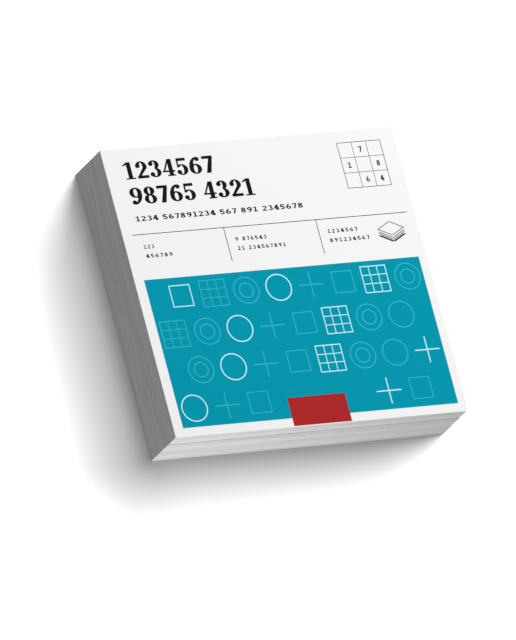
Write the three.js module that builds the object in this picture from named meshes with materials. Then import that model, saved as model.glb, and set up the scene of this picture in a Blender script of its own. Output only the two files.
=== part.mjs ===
// A tear-off puzzle pad: three levels of loose trimmed sheets between a card cover and a grey board,
// held along the head edge by a film of padding glue. Lengths are in millimetres.
// +X runs along the lines of print, +Y points to the glued head and +Z up from the table.
import * as THREE from "three";

// The trimmed pad
const PAD_WIDTH = 160;
const PAD_DEPTH = 150;

// Thickness of each kind of piece
const BOARD_THICKNESS = 1.2;
const SHEET_THICKNESS = 0.097;
const COVER_THICKNESS = 0.35;
const GLUE_THICKNESS = 0.4;

// Air between two loose sheets, and between a sheet's head edge and the glue film
const SHEET_AIR = 0.005;
const GLUE_AIR = 0.02;

// A level is its first sheet, which is the next to be torn off, and packs of sheets under it.
const LEVELS = 3;
const PACKS_IN_LEVEL = 15;
const SHEETS_IN_PACK = 6;

// The most that a cut edge stands back from the trimmed face: a whole level, a pack and one sheet
const LEVEL_SETBACK = 0.16;
const PACK_SETBACK = 0.12;
const SHEET_SETBACK = 0.06;

const SHEET_PITCH = SHEET_THICKNESS + SHEET_AIR;
const PACK_PITCH = SHEETS_IN_PACK * SHEET_PITCH;
const LEVEL_PITCH = PACKS_IN_LEVEL * PACK_PITCH + SHEET_PITCH;
const BLOCK_BOTTOM = BOARD_THICKNESS + SHEET_AIR;
const COVER_BOTTOM = BLOCK_BOTTOM + LEVELS * LEVEL_PITCH;
const GLUE_FRONT = PAD_DEPTH / 2 - GLUE_THICKNESS;
const SHEET_HEAD = GLUE_FRONT - GLUE_AIR;

const COVER_FINISH = { color: 0xf3f4f2, roughness: 0.4, metalness: 0 };
const SHEET_FINISH = { color: 0xe9e9e6, roughness: 0.85, metalness: 0 };
const BOARD_FINISH = { color: 0xb4b0a8, roughness: 0.9, metalness: 0 };
const GLUE_FINISH = { color: 0xeae6d8, roughness: 0.5, metalness: 0 };

function addPiece(group, name, geometry, height, finish) {
  const piece = new THREE.Mesh(geometry, new THREE.MeshStandardMaterial(finish));
  piece.name = name;
  piece.position.z = height;
  group.add(piece);
}

// A flat plate, cut square, as wide as the pad and with its lower face at height 0.
function plate(front, back, thickness) {
  const outline = new THREE.Shape();
  outline.moveTo(-PAD_WIDTH / 2, front);
  outline.lineTo(PAD_WIDTH / 2, front);
  outline.lineTo(PAD_WIDTH / 2, back);
  outline.lineTo(-PAD_WIDTH / 2, back);
  return new THREE.ExtrudeGeometry(outline, { depth: thickness, bevelEnabled: false });
}

// A share from 0 to 1 that wanders from one sheet, pack or level to the next. Each side of the pad
// has a phase of its own, so no two faces of the block show the same steps.
function wander(count, phase) {
  const goldenAngle = Math.PI * (3 - Math.sqrt(5));
  return 0.5 + 0.5 * Math.sin(count * goldenAngle + phase);
}

// How far one sheet's edge stands back on its own. Every second sheet stands further back, so two
// sheets that lie on each other never end in one plane.
function sheetSetback(sheet, phase) {
  const share = 0.25 * wander(sheet, phase) + (sheet % 2 ? 0.75 : 0);
  return SHEET_SETBACK * share;
}

// How far that edge stands back from the trimmed face with its pack and its level.
function setback(sheet, pack, level, phase) {
  const carried = LEVEL_SETBACK * wander(level, phase) + PACK_SETBACK * wander(pack, phase);
  return carried + sheetSetback(sheet, phase);
}

// The four corners of one sheet at a height, counter-clockwise from the front left. Whole packs are
// knocked up square at the head before the glue is brushed on, so only single sheets step there.
function sheetRing(sheet, pack, level, height) {
  const left = -PAD_WIDTH / 2 + setback(sheet, pack, level, 0);
  const right = PAD_WIDTH / 2 - setback(sheet, pack, level, 2);
  const front = -PAD_DEPTH / 2 + setback(sheet, pack, level, 4);
  const head = SHEET_HEAD - sheetSetback(sheet, 6);
  return [
    new THREE.Vector3(left, front, height),
    new THREE.Vector3(right, front, height),
    new THREE.Vector3(right, head, height),
    new THREE.Vector3(left, head, height),
  ];
}

// A closed solid through rings of corners, the lowest ring first. Two rings at one height make the
// ledge between two sheets of different size.
function loft(rings) {
  const corners = rings[0].length;
  const last = (rings.length - 1) * corners;
  const triangles = [];
  for (let start = 0; start < last; start += corners) {
    for (let corner = 0; corner < corners; corner++) {
      const here = start + corner;
      const next = start + ((corner + 1) % corners);
      triangles.push(here, next, next + corners);
      triangles.push(here, next + corners, here + corners);
    }
  }
  for (let corner = 1; corner + 1 < corners; corner++) {
    triangles.push(0, corner + 1, corner);
    triangles.push(last, last + corner, last + corner + 1);
  }
  const geometry = new THREE.BufferGeometry().setFromPoints(rings.flat());
  geometry.setIndex(triangles);
  geometry.computeVertexNormals();
  return geometry;
}

// Sheets that lie close on each other, as one solid on which every sheet keeps its own cut edge.
function sheets(count, pack, level) {
  const rings = [];
  for (let sheet = 0; sheet < count; sheet++) {
    const bottom = sheet * SHEET_PITCH;
    const top = sheet + 1 < count ? bottom + SHEET_PITCH : bottom + SHEET_THICKNESS;
    rings.push(sheetRing(sheet, pack, level, bottom));
    rings.push(sheetRing(sheet, pack, level, top));
  }
  return loft(rings);
}

// One level of the block. Its packs are numbered from the top, in the order in which they are used.
function levelBlock(level) {
  const block = new THREE.Group();
  for (let pack = PACKS_IN_LEVEL; pack >= 1; pack--) {
    const height = (PACKS_IN_LEVEL - pack) * PACK_PITCH;
    const name = `level_${level}_pack_${String(pack).padStart(2, "0")}`;
    addPiece(block, name, sheets(SHEETS_IN_PACK, pack, level), height, SHEET_FINISH);
  }
  const firstSheetHeight = PACKS_IN_LEVEL * PACK_PITCH;
  addPiece(block, `level_${level}_first_sheet`, sheets(1, 0, level), firstSheetHeight, SHEET_FINISH);
  block.position.z = BLOCK_BOTTOM + (LEVELS - level) * LEVEL_PITCH;
  return block;
}

// A stretch of the glue film on the head face of the block.
function glueFilm(bottom, top) {
  return plate(GLUE_FRONT, PAD_DEPTH / 2, top - bottom);
}

const pad = new THREE.Group();
const boardGeometry = plate(-PAD_DEPTH / 2, SHEET_HEAD, BOARD_THICKNESS);
addPiece(pad, "back_board", boardGeometry, 0, BOARD_FINISH);
for (let level = LEVELS; level >= 1; level--) {
  pad.add(levelBlock(level));
}
// The film parts along the line where the first level opens, so each stretch turns with its sheets.
const opening = COVER_BOTTOM - LEVEL_PITCH;
addPiece(pad, "head_glue_lower", glueFilm(0, opening - SHEET_AIR), 0, GLUE_FINISH);
addPiece(pad, "head_glue_upper", glueFilm(opening, COVER_BOTTOM - SHEET_AIR), opening, GLUE_FINISH);
// The cover reaches over the upper end of the film, which holds its head edge.
const coverGeometry = plate(-PAD_DEPTH / 2, PAD_DEPTH / 2, COVER_THICKNESS);
addPiece(pad, "front_cover", coverGeometry, COVER_BOTTOM, COVER_FINISH);

export default pad;
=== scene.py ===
import math
import random
import bmesh
import bpy
from mathutils import Matrix, Vector, noise
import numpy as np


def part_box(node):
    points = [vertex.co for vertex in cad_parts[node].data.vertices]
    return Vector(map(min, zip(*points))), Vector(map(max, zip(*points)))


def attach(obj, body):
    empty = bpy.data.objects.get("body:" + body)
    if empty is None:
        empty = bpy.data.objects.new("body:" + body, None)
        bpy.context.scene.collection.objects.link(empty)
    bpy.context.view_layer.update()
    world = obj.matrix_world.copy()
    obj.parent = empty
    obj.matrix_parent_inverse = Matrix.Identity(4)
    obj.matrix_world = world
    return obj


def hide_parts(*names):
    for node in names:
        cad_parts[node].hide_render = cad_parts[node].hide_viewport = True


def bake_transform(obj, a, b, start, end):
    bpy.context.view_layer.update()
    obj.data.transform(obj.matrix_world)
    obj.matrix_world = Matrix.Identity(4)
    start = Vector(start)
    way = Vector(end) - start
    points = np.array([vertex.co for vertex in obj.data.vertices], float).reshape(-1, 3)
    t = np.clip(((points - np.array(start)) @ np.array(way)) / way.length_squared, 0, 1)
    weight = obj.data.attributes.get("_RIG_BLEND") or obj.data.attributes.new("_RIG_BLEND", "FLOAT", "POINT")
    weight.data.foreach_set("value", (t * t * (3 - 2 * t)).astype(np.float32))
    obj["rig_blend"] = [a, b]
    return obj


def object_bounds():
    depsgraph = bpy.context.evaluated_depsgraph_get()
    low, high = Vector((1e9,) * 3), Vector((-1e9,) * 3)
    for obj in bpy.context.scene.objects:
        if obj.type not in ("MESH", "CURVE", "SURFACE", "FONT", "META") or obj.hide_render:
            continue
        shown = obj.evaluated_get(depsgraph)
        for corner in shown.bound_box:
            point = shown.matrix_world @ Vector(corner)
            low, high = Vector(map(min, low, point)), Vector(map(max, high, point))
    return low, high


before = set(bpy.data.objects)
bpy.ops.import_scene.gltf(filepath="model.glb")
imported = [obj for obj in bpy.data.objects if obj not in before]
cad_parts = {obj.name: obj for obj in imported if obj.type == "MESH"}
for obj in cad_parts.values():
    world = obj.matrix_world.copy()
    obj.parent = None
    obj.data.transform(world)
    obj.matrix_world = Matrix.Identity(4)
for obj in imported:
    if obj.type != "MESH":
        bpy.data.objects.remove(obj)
cad_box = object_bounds()


# Back board. The stiff sheet under the pad is grey board, pressed from waste paper and cut in one
# stroke with the sheets, so its faces are mottled and its edge is a clean, faintly layered cut.
MM = 0.001
BOARD_EDGE_WEAR = 0.08 * MM


def linear(hex_colour):
    """An sRGB hex colour as the linear colour that a shader socket takes."""
    shares = [int(hex_colour[start:start + 2], 16) / 255 for start in (1, 3, 5)]
    return [s / 12.92 if s <= 0.04045 else ((s + 0.055) / 1.055) ** 2.4 for s in shares] + [1.0]


def start_finish(name):
    """A new material with an empty node tree."""
    finish = bpy.data.materials.new(name)
    finish.use_nodes = True
    finish.node_tree.nodes.clear()
    return finish


def node(finish, kind, inputs, **settings):
    """Adds a node to a finish. Each input is a value, or the socket that feeds it."""
    tree = finish.node_tree
    made = tree.nodes.new(kind)
    for setting, value in settings.items():
        setattr(made, setting, value)
    for socket, value in inputs.items():
        if isinstance(value, bpy.types.NodeSocket):
            tree.links.new(value, made.inputs[socket])
        else:
            made.inputs[socket].default_value = value
    return made


def add_slab(shape, lowest, highest):
    """Adds a plate between two corners to a bmesh and returns its faces."""
    placed = Matrix.LocRotScale((lowest + highest) / 2, None, highest - lowest)
    corners = bmesh.ops.create_cube(shape, size=1, matrix=placed)["verts"]
    return {face for corner in corners for face in corner.link_faces}


def make_piece(name, shape, *finishes):
    """Turns a bmesh into an object of the scene."""
    mesh = bpy.data.meshes.new(name)
    shape.to_mesh(mesh)
    shape.free()
    for finish in finishes:
        mesh.materials.append(finish)
    piece = bpy.data.objects.new(name, mesh)
    bpy.context.scene.collection.objects.link(piece)
    return piece


# Grey board, rolled and uncoated: matte, with flecks of pulp about 0.8 mm long.
grey_board = start_finish("grey_board_rolled")
place = node(grey_board, "ShaderNodeTexCoord", {}).outputs["Object"]
flecks = node(grey_board, "ShaderNodeTexNoise", {
    "Vector": place, "Scale": 1 / (0.8 * MM), "Detail": 4, "Roughness": 0.6}).outputs[0]
pulp = node(grey_board, "ShaderNodeMix", {
    0: flecks, 6: linear("#CBCBC9"), 7: linear("#E2E2E0")}, data_type="RGBA").outputs[2]
dryness = node(grey_board, "ShaderNodeMapRange", {
    "Value": flecks, "To Min": 0.82, "To Max": 0.96}).outputs[0]
nap = node(grey_board, "ShaderNodeBump", {
    "Height": flecks, "Strength": 0.5, "Distance": 0.03 * MM}).outputs[0]
surface = node(grey_board, "ShaderNodeBsdfPrincipled", {
    "Base Color": pulp, "Roughness": dryness, "Normal": nap, "Specular IOR Level": 0.2})
node(grey_board, "ShaderNodeOutputMaterial", {"Surface": surface.outputs[0]})

shape = bmesh.new()
add_slab(shape, *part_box("back_board"))
bmesh.ops.bevel(shape, geom=shape.edges[:], offset=BOARD_EDGE_WEAR, affect="EDGES",
                segments=2, profile=0.5, material=-1)
board = make_piece("board_stock", shape, grey_board)
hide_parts("back_board")
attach(board, "pad_base")


# Packed sheets. Ninety sheets of uncoated white offset paper lie under the first one of each level.
# They are trimmed in lifts on a guillotine, so the lifts and single sheets end a hair apart.
SHEETS_IN_PACK = 6
SHEET_AIR = 0.005 * MM
INK_ON_PAPER = 0.02 * MM
BODY_OF_LEVEL = {1: "level_1_section", 2: "pad_base", 3: "pad_base"}
# How far a cut edge stands back: for each level under its own, with its lift, and alone
LEVEL_STEP = 0.13 * MM
LIFT_STEP = 0.16 * MM
SHEET_STEP = 0.05 * MM
# The tone of the cut: higher is paler, and it varies less on the left and right sides
SHEETS_IN_LIFT = 25
MIDDLE_TONE = 0.5
LIFT_TONE_REACH = 0.24
SIDE_TONE_SHARE = 0.6
# Where the drift of each side's cut, and of its tone, is read in a field of noise
EDGE_DRIFT = 0.13
SIDES_APART = 7.3
TONE_ROW = 17.7
NOISE_LAYER = 0.4

# Uncoated offset paper: nearly white and matte, with a cloudy look-through of fibre, which is about
# 0.3 mm fine and is drawn at 1.5 mm so that it shows.
offset_paper = start_finish("offset_paper_uncoated")
place = node(offset_paper, "ShaderNodeTexCoord", {}).outputs["Object"]
clouds = node(offset_paper, "ShaderNodeTexNoise", {
    "Vector": place, "Scale": 1 / (1.5 * MM), "Detail": 5, "Roughness": 0.65}).outputs[0]
fibre = node(offset_paper, "ShaderNodeMix", {
    0: clouds, 6: linear("#EDEDEA"), 7: linear("#F6F6F3")}, data_type="RGBA").outputs[2]
dryness = node(offset_paper, "ShaderNodeMapRange", {
    "Value": clouds, "To Min": 0.8, "To Max": 0.93}).outputs[0]
nap = node(offset_paper, "ShaderNodeBump", {
    "Height": clouds, "Strength": 0.35, "Distance": 0.02 * MM}).outputs[0]
surface = node(offset_paper, "ShaderNodeBsdfPrincipled", {
    "Base Color": fibre, "Roughness": dryness, "Normal": nap, "Specular IOR Level": 0.2})
node(offset_paper, "ShaderNodeOutputMaterial", {"Surface": surface.outputs[0]})

# The same paper on its cut edge: each lift has its own tone, and streaks run along the sheets. A
# sheet is 0.1 mm thick, too fine to show, so the streaks are drawn 0.7 mm and 1.5 mm high.
cut_paper = start_finish("offset_paper_guillotined")
place = node(cut_paper, "ShaderNodeTexCoord", {}).outputs["Object"]
streaks = []
for height, length in ((0.7 * MM, 26 * MM), (1.5 * MM, 60 * MM)):
    drawn_out = node(cut_paper, "ShaderNodeMapping", {
        "Vector": place, "Scale": [1 / length, 1 / length, 1 / height]}).outputs[0]
    streaks.append(node(cut_paper, "ShaderNodeTexNoise", {
        "Vector": drawn_out, "Scale": 1, "Detail": 3, "Roughness": 0.6}).outputs[0])
fine_streaks, broad_streaks = streaks
lift_tone = node(cut_paper, "ShaderNodeAttribute", {}, attribute_name="sheet_tone").outputs["Fac"]
both = node(cut_paper, "ShaderNodeMath", {0: fine_streaks, 1: broad_streaks}).outputs[0]
tone = node(cut_paper, "ShaderNodeMath", {0: both, 1: lift_tone}).outputs[0]
tone_share = node(cut_paper, "ShaderNodeMapRange", {
    "Value": tone, "From Min": 0.93, "From Max": 1.97}).outputs[0]
cut_colour = node(cut_paper, "ShaderNodeMix", {
    0: tone_share, 6: linear("#C8C9C9"), 7: linear("#F9FAFA")}, data_type="RGBA").outputs[2]
dryness = node(cut_paper, "ShaderNodeMapRange", {
    "Value": both, "From Max": 2, "To Min": 0.8, "To Max": 0.95}).outputs[0]
ridges = node(cut_paper, "ShaderNodeBump", {
    "Height": fine_streaks, "Strength": 0.6, "Distance": 0.15 * MM}).outputs[0]
surface = node(cut_paper, "ShaderNodeBsdfPrincipled", {
    "Base Color": cut_colour, "Roughness": dryness, "Normal": ridges, "Specular IOR Level": 0.15})
node(cut_paper, "ShaderNodeOutputMaterial", {"Surface": surface.outputs[0]})


def add_sheet(shape, lowest, highest, tone):
    """Adds one sheet, with paper on its faces and the cut on its edges, where its tone shows."""
    layers = shape.faces.layers.float
    tone_layer = layers.get("sheet_tone") or layers.new("sheet_tone")
    side_tone = MIDDLE_TONE + SIDE_TONE_SHARE * (tone - MIDDLE_TONE)
    for face in add_slab(shape, lowest, highest):
        face[tone_layer] = tone if abs(face.normal.y) > 0.5 else side_tone
        face.material_index = 0 if abs(face.normal.z) > 0.5 else 1


def wander(count, side):
    """A share from 0 to 1 that drifts smoothly from sheet to sheet, in its own way on each side."""
    place_in_noise = Vector((count * EDGE_DRIFT, side * SIDES_APART, NOISE_LAYER))
    return 0.5 + 0.5 * noise.noise(place_in_noise)


def lift_tone_at(count):
    """The tone of a sheet's cut, which changes from one lift of sheets to the next."""
    place_in_noise = Vector((count / SHEETS_IN_LIFT, TONE_ROW, NOISE_LAYER))
    return MIDDLE_TONE + LIFT_TONE_REACH * noise.noise(place_in_noise)


jitter = random.Random(273)
sheets_passed = 0
for level, body in BODY_OF_LEVEL.items():
    packs = sorted(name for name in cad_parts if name.startswith(f"level_{level}_pack_"))
    shape = bmesh.new()
    for pack in packs:
        lowest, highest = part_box(pack)
        pitch = (highest.z - lowest.z + SHEET_AIR) / SHEETS_IN_PACK
        for sheet in reversed(range(SHEETS_IN_PACK)):
            left, front, right = [
                LEVEL_STEP * (len(BODY_OF_LEVEL) - level) + LIFT_STEP * wander(sheets_passed, side)
                + SHEET_STEP * jitter.random() for side in range(3)]
            bottom = lowest.z + sheet * pitch
            top = bottom + pitch - SHEET_AIR
            if pack == packs[0] and sheet == SHEETS_IN_PACK - 1:
                top -= INK_ON_PAPER
            if pack == packs[-1] and sheet == 0:
                bottom += INK_ON_PAPER
            add_sheet(shape, Vector((cad_box[0].x + left, cad_box[0].y + front, bottom)),
                      Vector((cad_box[1].x - right, highest.y, top)), lift_tone_at(sheets_passed))
            sheets_passed += 1
    sheets = make_piece(f"sheets_of_level_{level}", shape, offset_paper, cut_paper)
    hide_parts(*packs)
    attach(sheets, body)


# First sheets. The top sheet of each level is the next to be torn off, and slides out on its own.
# It is the same offset paper as the rest of the block, cut in the same stroke.
SHEETS_IN_LEVEL = 91
ink_room = Vector((0, 0, INK_ON_PAPER))
for level in BODY_OF_LEVEL:
    lowest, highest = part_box(f"level_{level}_first_sheet")
    shape = bmesh.new()
    add_sheet(shape, lowest + ink_room, highest - ink_room, lift_tone_at(SHEETS_IN_LEVEL * (level - 1)))
    first_sheet = make_piece(f"first_sheet_of_level_{level}", shape, offset_paper, cut_paper)
    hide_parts(f"level_{level}_first_sheet")
    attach(first_sheet, f"level_{level}_first_sheet")


# Puzzle print. Every sheet carries one grid of nine by nine cells in black offset ink, with some of
# its numbers given, and the solution stands on the back of the sheet, head to foot. Only pages that
# a joint uncovers are printed here.
CELLS = 9
BOXES = 3
PUZZLE_CELL = 13.0
SOLUTION_CELL = 6.5
NUMBER_SHARE = 0.5
FINE_LINE = 0.3
BOLD_LINE = 0.8
GRID_DROP = 5.0
GLYPH_WELD = 0.0005
STROKE_LIFT = 0.002 * MM
INK_FILM = 0.9 * INK_ON_PAPER


def offset_ink(name, colour, paler):
    """Offset ink: a thin dry film that takes the paper's tooth, so its tone is mottled at 0.9 mm."""
    ink = start_finish(name)
    place = node(ink, "ShaderNodeTexCoord", {}).outputs["Object"]
    mottle = node(ink, "ShaderNodeTexNoise", {
        "Vector": place, "Scale": 1 / (0.9 * MM), "Detail": 4, "Roughness": 0.6}).outputs[0]
    film = node(ink, "ShaderNodeMix", {
        0: mottle, 6: linear(colour), 7: linear(paler)}, data_type="RGBA").outputs[2]
    gloss = node(ink, "ShaderNodeMapRange", {
        "Value": mottle, "To Min": 0.48, "To Max": 0.62}).outputs[0]
    tooth = node(ink, "ShaderNodeBump", {
        "Height": mottle, "Strength": 0.2, "Distance": 0.01 * MM}).outputs[0]
    surface = node(ink, "ShaderNodeBsdfPrincipled", {
        "Base Color": film, "Roughness": gloss, "Normal": tooth, "Specular IOR Level": 0.01})
    node(ink, "ShaderNodeOutputMaterial", {"Surface": surface.outputs[0]})
    return ink


black_ink = offset_ink("offset_ink_black", "#16110D", "#211A16")


def add_bar(shape, left, bottom, right, top):
    """Adds a flat bar of ink, in millimetres on the page."""
    placed = Matrix.LocRotScale(((left + right) / 2, (bottom + top) / 2, 0), None,
                                (right - left, top - bottom, 1))
    bmesh.ops.create_grid(shape, x_segments=1, y_segments=1, size=0.5, matrix=placed)


def add_cells(shape, left, bottom, cell, count, line):
    """Adds the lines of a square grid of cells, each line centred on its place."""
    size = cell * count
    middle = Vector((left + size / 2, bottom + size / 2, 0))
    placed = Matrix.LocRotScale(middle, None, (size, size, 1))
    made = bmesh.ops.create_grid(shape, x_segments=count, y_segments=count, size=0.5, matrix=placed)
    faces = list({face for corner in made["verts"] for face in corner.link_faces})
    bmesh.ops.inset_individual(shape, faces=faces, thickness=line / 2)
    bmesh.ops.delete(shape, geom=faces, context="FACES")
    outer = [corner for corner in made["verts"] if corner.is_boundary]
    grown = (size + line) / size
    bmesh.ops.scale(shape, vec=(grown, grown, 1), space=Matrix.Translation(-middle), verts=outer)


def pour(drawn, shape):
    """Moves all of one bmesh into another and frees it."""
    mesh = bpy.data.meshes.new("drawn")
    drawn.to_mesh(mesh)
    drawn.free()
    shape.from_mesh(mesh)
    bpy.data.meshes.remove(mesh)


def add_number(shape, number, middle, base, height):
    """Adds a light number of a given height, centred on its middle."""
    words = bpy.data.curves.new("number", "FONT")
    words.body = str(number)
    holder = bpy.data.objects.new("number", words)
    bpy.context.scene.collection.objects.link(holder)
    flat = holder.evaluated_get(bpy.context.evaluated_depsgraph_get())
    mesh = bpy.data.meshes.new_from_object(flat)
    bpy.data.objects.remove(holder)
    bpy.data.curves.remove(words)
    drawn = bmesh.new()
    drawn.from_mesh(mesh)
    bpy.data.meshes.remove(mesh)
    bmesh.ops.remove_doubles(drawn, verts=drawn.verts[:], dist=GLYPH_WELD)
    low = Vector([min(corner.co[axis] for corner in drawn.verts) for axis in range(3)])
    high = Vector([max(corner.co[axis] for corner in drawn.verts) for axis in range(3)])
    scale = height / (high.y - low.y)
    start = middle - (high.x - low.x) * scale / 2
    placed = Matrix.LocRotScale((start, base, 0), None, (scale, scale, 1))
    bmesh.ops.transform(drawn, matrix=placed @ Matrix.Translation((-low.x, -low.y, 0)),
                        verts=drawn.verts[:])
    pour(drawn, shape)


def print_piece(name, shape, page, thickness, ink):
    """Makes a drawing into a film of ink on a page, whose matrix takes it to its place. A drawing
    is in millimetres across the page, but its heights are in metres."""
    bmesh.ops.scale(shape, vec=(MM, MM, 1), verts=shape.verts[:])
    film = bmesh.ops.extrude_face_region(shape, geom=shape.faces[:])["geom"]
    raised = [part for part in film if isinstance(part, bmesh.types.BMVert)]
    bmesh.ops.translate(shape, vec=(0, 0, thickness), verts=raised)
    bmesh.ops.recalc_face_normals(shape, faces=shape.faces[:])
    bmesh.ops.transform(shape, matrix=page, verts=shape.verts[:])
    return make_piece(name, shape, ink)


def number_at(row, column, turn):
    """The number in a cell of a filled grid. Each row is the first one moved on, so none repeats."""
    shift = BOXES * (row % BOXES) + row // BOXES + turn
    return (shift + column * (1 if turn % 2 else 2)) % CELLS + 1


def is_given(row, column, turn):
    """Whether a puzzle gives a cell's number: about half are given, alike after a half turn."""
    place_in_grid = row * CELLS + column
    mirrored = min(place_in_grid, CELLS * CELLS - 1 - place_in_grid)
    return (mirrored * 7 + turn * 3) % 13 < 6


def draw_grid(shape, cell, turn, all_given):
    """Draws a grid centred on the page, with all of its numbers or those that a puzzle gives."""
    left = -CELLS / 2 * cell
    foot = left - GRID_DROP
    add_cells(shape, left, foot, cell, CELLS, FINE_LINE)
    bold = bmesh.new()
    add_cells(bold, left, foot, BOXES * cell, BOXES, BOLD_LINE)
    bmesh.ops.translate(bold, vec=(0, 0, STROKE_LIFT), verts=bold.verts[:])
    pour(bold, shape)
    for row in range(CELLS):
        base = foot + (CELLS - 1 - row + (1 - NUMBER_SHARE) / 2) * cell
        for column in range(CELLS):
            if all_given or is_given(row, column, turn):
                add_number(shape, number_at(row, column, turn), left + (column + 0.5) * cell, base,
                           NUMBER_SHARE * cell)


for level, body in BODY_OF_LEVEL.items():
    first_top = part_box(f"level_{level}_first_sheet")[1].z
    next_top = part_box(f"level_{level}_pack_01")[1].z
    for name, carrier, top, turn in (
            (f"puzzle_on_first_sheet_{level}", f"level_{level}_first_sheet", first_top, level),
            (f"puzzle_on_next_sheet_{level}", body, next_top, level + 4)):
        shape = bmesh.new()
        draw_grid(shape, PUZZLE_CELL, turn, False)
        page = Matrix.Translation((0, 0, top - INK_ON_PAPER))
        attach(print_piece(name, shape, page, INK_FILM, black_ink), carrier)

shape = bmesh.new()
draw_grid(shape, SOLUTION_CELL, 2, True)
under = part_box("level_1_pack_15")[0].z + INK_ON_PAPER
page = Matrix.Translation((0, 0, under)) @ Matrix.Rotation(math.pi, 4, "X")
solution = print_piece("solution_on_last_sheet_1", shape, page, INK_FILM, black_ink)
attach(solution, "level_1_section")


# Head glue. A film of padding glue brushed along the head edges of the sheets holds the block. It
# dries rubbery and milky, with brush marks along the head, and parts where the first level opens.
GLUE_BRUSH_DEPTH = 0.12 * MM
BRUSH_MARK_LENGTH = 40 * MM
BRUSH_MARK_WIDTH = 1.6 * MM
GLUE_CUTS_ALONG = 40
GLUE_CUTS_UP = 14
OUTER_FACE_REACH = 0.01 * MM

# Dried padding glue: cream white, half matte, with marks of brush hairs drawn 0.7 mm wide.
padding_glue = start_finish("padding_glue_brushed")
place = node(padding_glue, "ShaderNodeTexCoord", {}).outputs["Object"]
brushed = node(padding_glue, "ShaderNodeMapping", {
    "Vector": place, "Scale": [1 / (35 * MM), 1 / (35 * MM), 1 / (0.7 * MM)]}).outputs[0]
marks = node(padding_glue, "ShaderNodeTexNoise", {
    "Vector": brushed, "Scale": 1, "Detail": 4, "Roughness": 0.6}).outputs[0]
milk = node(padding_glue, "ShaderNodeMix", {
    0: marks, 6: linear("#DDD6C2"), 7: linear("#F1EDE1")}, data_type="RGBA").outputs[2]
gloss = node(padding_glue, "ShaderNodeMapRange", {
    "Value": marks, "To Min": 0.32, "To Max": 0.55}).outputs[0]
strokes = node(padding_glue, "ShaderNodeBump", {
    "Height": marks, "Strength": 0.7, "Distance": GLUE_BRUSH_DEPTH}).outputs[0]
surface = node(padding_glue, "ShaderNodeBsdfPrincipled", {
    "Base Color": milk, "Roughness": gloss, "Normal": strokes, "IOR": 1.47,
    "Specular IOR Level": 0.4})
node(padding_glue, "ShaderNodeOutputMaterial", {"Surface": surface.outputs[0]})

for stretch, body in (("lower", "pad_base"), ("upper", "level_1_section")):
    lowest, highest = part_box(f"head_glue_{stretch}")
    shape = bmesh.new()
    add_slab(shape, lowest, highest)
    bmesh.ops.subdivide_edges(shape, cuts=GLUE_CUTS_ALONG, use_grid_fill=True, edges=[
        edge for edge in shape.edges if abs(edge.verts[0].co.x - edge.verts[1].co.x) > MM])
    bmesh.ops.subdivide_edges(shape, cuts=GLUE_CUTS_UP, use_grid_fill=True, edges=[
        edge for edge in shape.edges if abs(edge.verts[0].co.z - edge.verts[1].co.z) > MM])
    for corner in shape.verts:
        if corner.co.y > highest.y - OUTER_FACE_REACH:
            drift = noise.noise(Vector((corner.co.x / BRUSH_MARK_LENGTH, 0,
                                        corner.co.z / BRUSH_MARK_WIDTH)))
            corner.co.y -= GLUE_BRUSH_DEPTH * (0.5 + 0.5 * drift)
    film = make_piece(f"glue_film_{stretch}", shape, padding_glue)
    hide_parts(f"head_glue_{stretch}")
    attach(film, body)


# Front cover. One sheet of white card, coated on the outside and matt laminated, trimmed flush with
# the block. The glue holds its head edge, and the card bends there as it turns over.
INK_ON_CARD = 0.03 * MM
INK_LAYERS = 2  # The panel, and the lines that are printed over it
CARD_EDGE = 0.04 * MM
BEND_LENGTH = 4.5 * MM
BEND_CUTS = 12

# Matt laminated card: white, with a very fine grain from the lamination, drawn at 1.2 mm.
cover_card = start_finish("card_matt_laminated")
place = node(cover_card, "ShaderNodeTexCoord", {}).outputs["Object"]
grain = node(cover_card, "ShaderNodeTexNoise", {
    "Vector": place, "Scale": 1 / (1.2 * MM), "Detail": 5, "Roughness": 0.6}).outputs[0]
white = node(cover_card, "ShaderNodeMix", {
    0: grain, 6: linear("#EBEBEB"), 7: linear("#EFEFEF")}, data_type="RGBA").outputs[2]
matt = node(cover_card, "ShaderNodeMapRange", {
    "Value": grain, "To Min": 0.5, "To Max": 0.62}).outputs[0]
lamination = node(cover_card, "ShaderNodeBump", {
    "Height": grain, "Strength": 0.15, "Distance": 0.01 * MM}).outputs[0]
surface = node(cover_card, "ShaderNodeBsdfPrincipled", {
    "Base Color": white, "Roughness": matt, "Normal": lamination, "Specular IOR Level": 0.15})
node(cover_card, "ShaderNodeOutputMaterial", {"Surface": surface.outputs[0]})

cover_low, cover_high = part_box("front_cover")
card_top = cover_high.z - INK_LAYERS * INK_ON_CARD
shape = bmesh.new()
add_slab(shape, cover_low, Vector((cover_high.x, cover_high.y, card_top)))
bmesh.ops.bevel(shape, geom=shape.edges[:], offset=CARD_EDGE, affect="EDGES", segments=1,
                profile=0.5, material=-1)
for cut in range(1, BEND_CUTS + 1):
    line = Vector((0, cover_high.y - BEND_LENGTH * cut / BEND_CUTS, 0))
    bmesh.ops.bisect_plane(shape, geom=shape.verts[:] + shape.edges[:] + shape.faces[:],
                           plane_co=line, plane_no=(0, 1, 0))
card = make_piece("cover_sheet", shape, cover_card)
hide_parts("front_cover")
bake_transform(card, "level_1_section", "front_cover", start=(0, cover_high.y, cover_low.z),
         end=(0, cover_high.y - BEND_LENGTH, cover_low.z))


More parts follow.
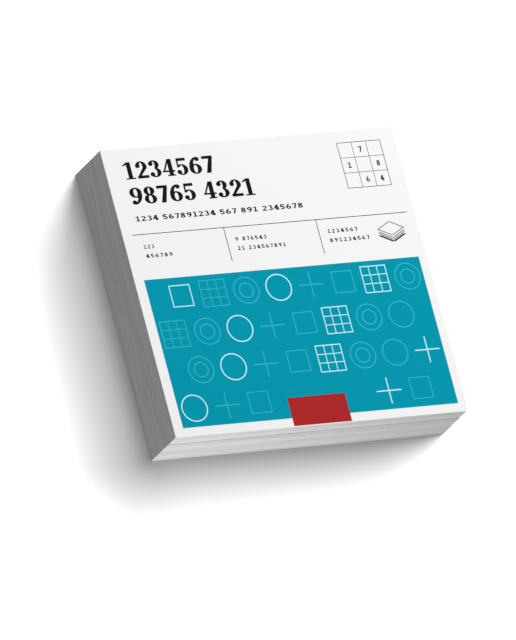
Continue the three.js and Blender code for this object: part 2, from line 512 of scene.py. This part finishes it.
# Cover print, black. Two lines of heavy numbers, a row of small ones, a rule with two uprights, three
# short notes in numbers, a small grid and the sign of a stack of sheets, in black offset ink.
TITLE_HEIGHT, TITLE_GAP = 8.9, 0.06
ROW_HEIGHT, ROW_GAP = 2.6, 0.15
NOTE_HEIGHT, NOTE_GAP = 2.0, 0.33
NOTE_UPPER, NOTE_LOWER = -52.5, -57.3
RULE_LINE = 0.34
RULE_LEFT, RULE_RIGHT, RULE_FOOT = 5.3, 155.6, -45.2
UPRIGHTS, UPRIGHT_FOOT = (54.9, 105.3), -62.8
ARC_STEPS = 32
ARC_WELD = 0.0001
BALL_STEPS = 24
# A pen's widths are in heights of a numeral.
HEAVY_PEN = {"stem": 0.23, "hair": 0.075, "ball": 0.125}
LIGHT_PEN = {"stem": 0.2, "hair": 0.18, "ball": 0.0}

# The cover is drawn in millimetres from its head left corner, with +x to the right and +y up.
cover_page = Matrix.Translation((cover_low.x, cover_high.y, card_top))


def stack_strokes(shape):
    """Lays the strokes of a drawing on each other, a hair apart, as no two may lie in one plane."""
    loose = dict.fromkeys(shape.verts)
    layer = 0
    while loose:
        stroke = [next(iter(loose))]
        del loose[stroke[0]]
        for corner in stroke:
            for edge in corner.link_edges:
                other = edge.other_vert(corner)
                if other in loose:
                    del loose[other]
                    stroke.append(other)
        bmesh.ops.translate(shape, vec=(0, 0, layer * STROKE_LIFT), verts=stroke)
        layer += 1


def add_stroke(shape, start, end, start_width, end_width=None):
    """Adds a straight stroke between two points, cut level at both ends."""
    corners = []
    for point, width, sides in ((start, start_width, (-1, 1)),
                                (end, end_width or start_width, (1, -1))):
        for side in sides:
            corners.append(shape.verts.new((point[0] + side * width / 2, point[1], 0)))
    bmesh.ops.contextual_create(shape, geom=corners)


def add_pen_arc(shape, pen, x, y, wide, tall, start, end):
    """Adds an arc drawn with a broad pen: thick on its flanks, a hairline at its top and foot."""
    chains, corners = [], []
    for wide_now, tall_now in ((wide, tall), (wide - pen["stem"], tall - pen["hair"])):
        turns = [math.radians(start + (end - start) * step / ARC_STEPS)
                 for step in range(ARC_STEPS + 1)]
        points = [shape.verts.new((x + wide_now * math.cos(turn), y + tall_now * math.sin(turn), 0))
                  for turn in turns]
        chains += [shape.edges.new(pair) for pair in zip(points, points[1:])]
        corners += points
    bmesh.ops.bridge_loops(shape, edges=chains)
    bmesh.ops.remove_doubles(shape, verts=corners, dist=ARC_WELD)


def add_ball(shape, pen, x, y):
    """Adds the round end of a pen stroke, where the pen makes one."""
    if pen["ball"]:
        bmesh.ops.create_circle(shape, cap_ends=True, segments=BALL_STEPS, radius=pen["ball"],
                                matrix=Matrix.Translation((x, y, 0)))


def draw_numeral(shape, pen, numeral):
    """Draws one numeral, one unit tall, from its left edge at 0, and returns its width."""
    stem, hair = pen["stem"], pen["hair"]
    beam = 0.6 * stem + 0.4 * hair
    if numeral == "1":
        add_stroke(shape, (0.31, 0.0), (0.31, 1.0), stem)
        add_stroke(shape, (0.02, 0.8), (0.3, 1.0), beam)
        add_bar(shape, 0.05, 0.0, 0.57, hair)
        return 0.6
    if numeral == "2":
        add_pen_arc(shape, pen, 0.32, 0.69, 0.31, 0.31, 160, -28)
        add_ball(shape, pen, 0.14, 0.74)
        add_stroke(shape, (0.12, 0.1), (0.5, 0.6), beam, stem)
        add_bar(shape, 0.03, 0.0, 0.64, beam)
        return 0.66
    if numeral == "3":
        add_pen_arc(shape, pen, 0.29, 0.74, 0.29, 0.26, 150, -85)
        add_pen_arc(shape, pen, 0.3, 0.28, 0.33, 0.28, 85, -155)
        add_ball(shape, pen, 0.14, 0.8)
        add_ball(shape, pen, 0.14, 0.19)
        return 0.65
    if numeral == "4":
        add_stroke(shape, (0.45, 0.0), (0.45, 1.0), stem)
        add_stroke(shape, (0.07, 0.27), (0.4, 1.0), 1.3 * hair)
        add_bar(shape, 0.0, 0.24, 0.68, 0.26 + hair)
        add_bar(shape, 0.23, 0.0, 0.67, hair)
        return 0.7
    if numeral == "5":
        add_bar(shape, 0.08, 1.0 - beam, 0.58, 1.0)
        add_stroke(shape, (0.12, 0.46), (0.12, 0.9), 1.2 * hair)
        add_pen_arc(shape, pen, 0.3, 0.32, 0.33, 0.32, 140, -155)
        add_ball(shape, pen, 0.14, 0.19)
        return 0.65
    if numeral == "7":
        add_bar(shape, 0.02, 1.0 - beam, 0.6, 1.0)
        add_stroke(shape, (0.25, 0.0), (0.5, 0.9), 1.1 * stem, 0.9 * stem)
        return 0.6
    if numeral == "8":
        add_pen_arc(shape, pen, 0.33, 0.745, 0.29, 0.255, 0, 360)
        add_pen_arc(shape, pen, 0.33, 0.275, 0.33, 0.275, 0, 360)
        return 0.68
    if numeral in "69":
        drawn = bmesh.new()
        add_pen_arc(drawn, pen, 0.34, 0.3, 0.33, 0.3, 0, 360)
        add_pen_arc(drawn, pen, 0.5, 0.36, 0.49, 0.64, 180, 95)
        add_ball(drawn, pen, 0.5, 0.86)
        if numeral == "9":
            bmesh.ops.rotate(drawn, cent=(0.34, 0.5, 0), matrix=Matrix.Rotation(math.pi, 3, "Z"),
                             verts=drawn.verts[:])
        pour(drawn, shape)
        return 0.69
    return 0.3


def add_drawn_numbers(shape, pen, text, left, base, height, width, gap):
    """Adds a line of drawn numerals that fills a width. The gap between two is in heights."""
    line = bmesh.new()
    reach = 0.0
    for numeral in text:
        drawn = bmesh.new()
        advance = draw_numeral(drawn, pen, numeral)
        bmesh.ops.translate(drawn, vec=(reach, 0, 0), verts=drawn.verts[:])
        stack_strokes(drawn)
        pour(drawn, line)
        reach += advance + gap
    placed = Matrix.LocRotScale((left, base, 0), None, (width / (reach - gap), height, 1))
    bmesh.ops.transform(line, matrix=placed, verts=line.verts[:])
    pour(line, shape)


shape = bmesh.new()
add_drawn_numbers(shape, HEAVY_PEN, "1234567", 9.8, -16.3, TITLE_HEIGHT, 48.9, TITLE_GAP)
add_drawn_numbers(shape, HEAVY_PEN, "98765 4321", 9.6, -29.6, TITLE_HEIGHT, 67.7, TITLE_GAP)
add_drawn_numbers(shape, LIGHT_PEN, "1234 567891234 567 891 2345678", 9.4, -38.2, ROW_HEIGHT, 91.2,
                  ROW_GAP)
add_bar(shape, RULE_LEFT, RULE_FOOT, RULE_RIGHT, RULE_FOOT + RULE_LINE)
for upright in UPRIGHTS:
    add_bar(shape, upright - RULE_LINE / 2, UPRIGHT_FOOT, upright + RULE_LINE / 2, RULE_FOOT)
for text, left, base, width in (
        ("123", 9.8, NOTE_UPPER, 5.6), ("456789", 9.8, NOTE_LOWER, 14.3),
        ("9 876543", 59.6, NOTE_UPPER, 17.0), ("21 234567891", 59.6, NOTE_LOWER, 26.2),
        ("1234567", 110.1, NOTE_UPPER, 16.4), ("891234567", 110.1, NOTE_LOWER, 21.8)):
    add_drawn_numbers(shape, LIGHT_PEN, text, left, base, NOTE_HEIGHT, width, NOTE_GAP)
black_print = print_piece("cover_print_black", shape, cover_page, INK_ON_CARD, black_ink)
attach(black_print, "front_cover")

# The small grid: three by three cells with five numbers, each about the middle of its cell.
SMALL_CELL = 7.9
SMALL_GRID_LEFT, SMALL_GRID_TOP = 127.65, -6.55
SMALL_NUMBER_WIDTH, SMALL_NUMBER_HEIGHT = 1.9, 2.9
SMALL_NUMBER_DROP = 0.68
shape = bmesh.new()
add_cells(shape, SMALL_GRID_LEFT, SMALL_GRID_TOP - BOXES * SMALL_CELL, SMALL_CELL, BOXES, RULE_LINE)
for text, row, column in (("7", 0, 1), ("1", 1, 0), ("8", 1, 2), ("6", 2, 1), ("4", 2, 2)):
    middle = SMALL_GRID_LEFT + (column + 0.5) * SMALL_CELL
    base = SMALL_GRID_TOP - (row + SMALL_NUMBER_DROP) * SMALL_CELL
    add_drawn_numbers(shape, LIGHT_PEN, text, middle - SMALL_NUMBER_WIDTH / 2, base,
                      SMALL_NUMBER_HEIGHT, SMALL_NUMBER_WIDTH, NOTE_GAP)
small_grid = print_piece("cover_print_small_grid", shape, cover_page, INK_ON_CARD, black_ink)
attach(small_grid, "front_cover")

# The sign: a sheet seen at a slant, with the edges of three more under it.
SIGN = Vector((144.5, -52.7))
SIGN_REACH = Vector((7.0, 3.6))
shape = bmesh.new()
for drop, line, sides in (
        (0, 0.75, (-1, 1)), (1.3, 0.8, (-1,)), (2.3, 0.8, (-1,)), (3.3, 1.7, (-1,))):
    for side in sides:
        for end in (-1, 1):
            start = SIGN + Vector((0, side * SIGN_REACH.y - drop))
            add_stroke(shape, start, SIGN + Vector((end * SIGN_REACH.x, -drop)), line)
stack_strokes(shape)
sign = print_piece("cover_print_sign", shape, cover_page, INK_ON_CARD, black_ink)
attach(sign, "front_cover")


# Cover print, colours. A solid panel covers the lower half inside a white margin, with a pattern of
# rings, boxes, crosses and squares in fine lines, and a red tab lies over its lower edge.
PANEL_LEFT, PANEL_FOOT, PANEL_RIGHT, PANEL_HEAD = 5.2, -145.5, 155.4, -68.5
TAB_LEFT, TAB_FOOT, TAB_RIGHT, TAB_HEAD = 64.5, -149.6, 96.0, -135.0
MOTIF_LINE = 0.6
MOTIF_SIZE = 13.5
MOTIF_COLUMNS = 8
MOTIF_ROWS = 4
INNER_RING_SHARE = 0.55
SQUARE_SHARE = 0.8
RING_STEPS = 40
TAB_CLEARANCE = 8
LINE_FILM = 0.9 * INK_ON_CARD

panel_ink = offset_ink("offset_ink_blue_green", "#008FA7", "#0097AF")
pale_ink = offset_ink("offset_ink_pale_cyan", "#BDEDF3", "#CDF3F7")
middle_ink = offset_ink("offset_ink_soft_cyan", "#2FACC1", "#38B4C8")
red_ink = offset_ink("offset_ink_red", "#A52425", "#AD2A2B")


def add_ring(shape, x, y, radius, line):
    """Adds a flat ring of ink."""
    ends = [shape.verts.new((x + radius + side * line / 2, y, 0)) for side in (-1, 1)]
    edge = shape.edges.new(ends)
    bmesh.ops.spin(shape, geom=ends + [edge], cent=(x, y, 0), axis=(0, 0, 1), dvec=(0, 0, 0),
                   angle=2 * math.pi, steps=RING_STEPS, use_merge=True)


def add_motif(shape, kind, x, y, size):
    """Adds one motif: a ring, a grid, a cross, two rings or a square."""
    half = size / 2
    if kind == 0:
        add_ring(shape, x, y, half, MOTIF_LINE)
    elif kind == 1:
        add_cells(shape, x - half, y - half, size / BOXES, BOXES, MOTIF_LINE)
    elif kind == 2:
        edge = MOTIF_LINE / 2
        add_bar(shape, x - half, y - edge, x + half, y + edge)
        add_bar(shape, x - edge, y + edge, x + edge, y + half)
        add_bar(shape, x - edge, y - half, x + edge, y - edge)
    elif kind == 3:
        add_ring(shape, x, y, half, MOTIF_LINE)
        add_ring(shape, x, y, half * INNER_RING_SHARE, MOTIF_LINE)
    else:
        inner = half * SQUARE_SHARE
        add_cells(shape, x - inner, y - inner, 2 * inner, 1, MOTIF_LINE)


shape = bmesh.new()
add_bar(shape, PANEL_LEFT, PANEL_FOOT, PANEL_RIGHT, PANEL_HEAD)
panel = print_piece("cover_print_panel", shape, cover_page, INK_ON_CARD, panel_ink)
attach(panel, "front_cover")

# Every second row of motifs is moved on by half a step. Their five kinds take turns along a row, and
# every third motif of it is in the bright ink.
over_panel = cover_page @ Matrix.Translation((0, 0, INK_ON_CARD))
bright, soft = bmesh.new(), bmesh.new()
step_x = (PANEL_RIGHT - PANEL_LEFT) / (MOTIF_COLUMNS + 0.5)
step_y = (PANEL_HEAD - PANEL_FOOT) / MOTIF_ROWS
for row in range(MOTIF_ROWS):
    for column in range(MOTIF_COLUMNS):
        x = PANEL_LEFT + (column + 0.5 + 0.5 * (row % 2)) * step_x
        y = PANEL_FOOT + (row + 0.5) * step_y
        in_tab_width = TAB_LEFT - TAB_CLEARANCE < x < TAB_RIGHT + TAB_CLEARANCE
        if in_tab_width and y < TAB_HEAD + TAB_CLEARANCE:
            continue
        drawing = bright if (column + row * 2) % 3 == 0 else soft
        add_motif(drawing, (column * 2 + row * 3) % 5, x, y, MOTIF_SIZE)
for name, drawing, ink in (("cover_print_bright_lines", bright, pale_ink),
                           ("cover_print_soft_lines", soft, middle_ink)):
    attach(print_piece(name, drawing, over_panel, LINE_FILM, ink), "front_cover")

shape = bmesh.new()
add_bar(shape, TAB_LEFT, TAB_FOOT, TAB_RIGHT, TAB_HEAD)
tab = print_piece("cover_print_tab", shape, cover_page, INK_LAYERS * INK_ON_CARD, red_ink)
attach(tab, "front_cover")


# Stage. A plain pale floor, soft light from behind on the right, a low fill in front, and a long
# lens at the photograph's angle. The floor has two lamps of its own, which set the shadow.
FLOOR_SIZE = 30.0
FLOOR_DROP = 0.05 * MM
WORLD_STRENGTH = 0.26

# Backdrop paper: pale and fully matte, so that nothing but the shadow shows on it.
floor_paint = start_finish("backdrop_paper_matte")
floor_surface = node(floor_paint, "ShaderNodeBsdfPrincipled", {
    "Base Color": linear("#DADADA"), "Roughness": 0.95, "Specular IOR Level": 0.0})
node(floor_paint, "ShaderNodeOutputMaterial", {"Surface": floor_surface.outputs[0]})
shape = bmesh.new()
bmesh.ops.create_grid(shape, x_segments=1, y_segments=1, size=FLOOR_SIZE / 2,
                      matrix=Matrix.Translation((0, 0, -FLOOR_DROP)))
floor = make_piece("floor", shape, floor_paint)
# No light comes back from the floor, so the pad's sides stay as dark as in the photograph.
floor.visible_diffuse = False

scene = bpy.context.scene
scene.view_settings.view_transform = "Standard"
scene.world = bpy.data.worlds.new("studio")
scene.world.use_nodes = True
background = scene.world.node_tree.nodes["Background"]
background.inputs["Color"].default_value = (1, 1, 1, 1)
background.inputs["Strength"].default_value = WORLD_STRENGTH


def add_light(name, place, target, energy, width, height):
    """Adds a flat lamp of a given size that shines from a place to a target."""
    lamp = bpy.data.lights.new(name, "AREA")
    lamp.energy = energy
    lamp.shape = "RECTANGLE"
    lamp.size = width
    lamp.size_y = height
    holder = bpy.data.objects.new(name, lamp)
    towards = Vector(target) - Vector(place)
    holder.matrix_world = (Matrix.Translation(place)
                           @ towards.to_track_quat("-Z", "Y").to_matrix().to_4x4())
    holder.visible_camera = False
    scene.collection.objects.link(holder)
    return holder


# The key and the low fill light the pad alone. The fill stands before the front face's left end.
key = add_light("key", place=(1.08, 1.02, 1.65), target=(0, 0, 0), energy=67, width=2.2, height=2.2)
fill = add_light("fill", place=(-0.085, -0.36, 0.015), target=(-0.085, -0.075, 0.015), energy=0.43,
                 width=0.02, height=0.02)
fill.data.spread = math.radians(160)
all_but_floor = bpy.data.collections.new("all_but_floor")
all_but_floor.objects.link(floor)
all_but_floor.collection_objects[0].light_linking.link_state = "EXCLUDE"
for lamp in (key, fill):
    lamp.light_linking.receiver_collection = all_but_floor

# The floor's own lamps: a low one casts the long shadow, and a high one a short, dark one in it.
low_lamp = add_light("floor_low", place=(1.22, 0.91, 0.74), target=(0, 0, 0), energy=151, width=2.15,
                     height=0.99)
high_lamp = add_light("floor_high", place=(0.4, 0.75, 2.09), target=(0, 0, 0), energy=42, width=1.33,
                      height=2.1)
floor_only = bpy.data.collections.new("floor_only")
floor_only.objects.link(floor)
for lamp in (low_lamp, high_lamp):
    lamp.light_linking.receiver_collection = floor_only

# A long lens far off, because the photograph is close to a parallel projection.
CAMERA_AZIMUTH = math.radians(-56.4958)
CAMERA_ELEVATION = math.radians(55.9006)
CAMERA_ROLL = math.radians(46.3068)
CAMERA_TARGET = Vector((-0.01155, -0.01341, 0.0147))
CAMERA_DISTANCE = 7.7017
CAMERA_LENS = 900
CAMERA_SENSOR = 36
CAMERA_REACH = 100

eye = bpy.data.cameras.new("camera")
eye.lens = CAMERA_LENS
eye.sensor_width = CAMERA_SENSOR
eye.clip_end = CAMERA_REACH
camera = bpy.data.objects.new("camera", eye)
scene.collection.objects.link(camera)
back = Vector((math.sin(CAMERA_AZIMUTH) * math.cos(CAMERA_ELEVATION),
               -math.cos(CAMERA_AZIMUTH) * math.cos(CAMERA_ELEVATION), math.sin(CAMERA_ELEVATION)))
level_right = Vector((math.cos(CAMERA_AZIMUTH), math.sin(CAMERA_AZIMUTH), 0))
turned = Matrix.Rotation(CAMERA_ROLL, 3, back)
right = turned @ level_right
up = back.cross(right)
camera.matrix_world = (Matrix.Translation(CAMERA_TARGET + back * CAMERA_DISTANCE)
                       @ Matrix((right, up, back)).transposed().to_4x4())
scene.camera = camera
